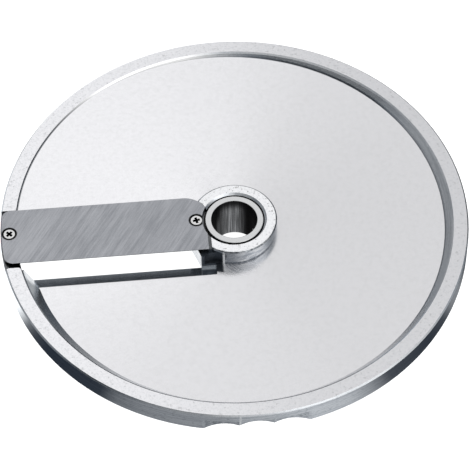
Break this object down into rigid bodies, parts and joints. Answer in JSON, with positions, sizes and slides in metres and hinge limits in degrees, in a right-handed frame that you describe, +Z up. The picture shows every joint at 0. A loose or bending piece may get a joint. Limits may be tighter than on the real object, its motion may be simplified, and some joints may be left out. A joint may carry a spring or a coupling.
{
  "type": "slicing disc",
  "caption": "Round cast slicing disc with a sloping plate, a radial blade over a slot, finger grips in its rim and a bushed centre hub for a drive shaft.",
  "frame": {"origin": "on the hub's axis, on the end face that the hub stands on", "axes": "+Z up along the hub's axis; the blade lies along -X with its cutting edge towards -Y"},
  "size_m": [0.205, 0.205, 0.0238],
  "materials": {
    "cast_aluminium": "machined and brushed cast aluminium, satin",
    "bush_steel": "turned stainless steel",
    "blade_steel": "surface-ground stainless steel with slanted grinding marks",
    "screw_steel": "bright stainless steel"
  },
  "bodies": {
    "root": {"disc_body": "cast_aluminium", "hub_bush": "bush_steel", "slicing_blade": "blade_steel", "blade_screw_outer": "screw_steel", "blade_screw_inner": "screw_steel"}
  },
  "joints": []
}
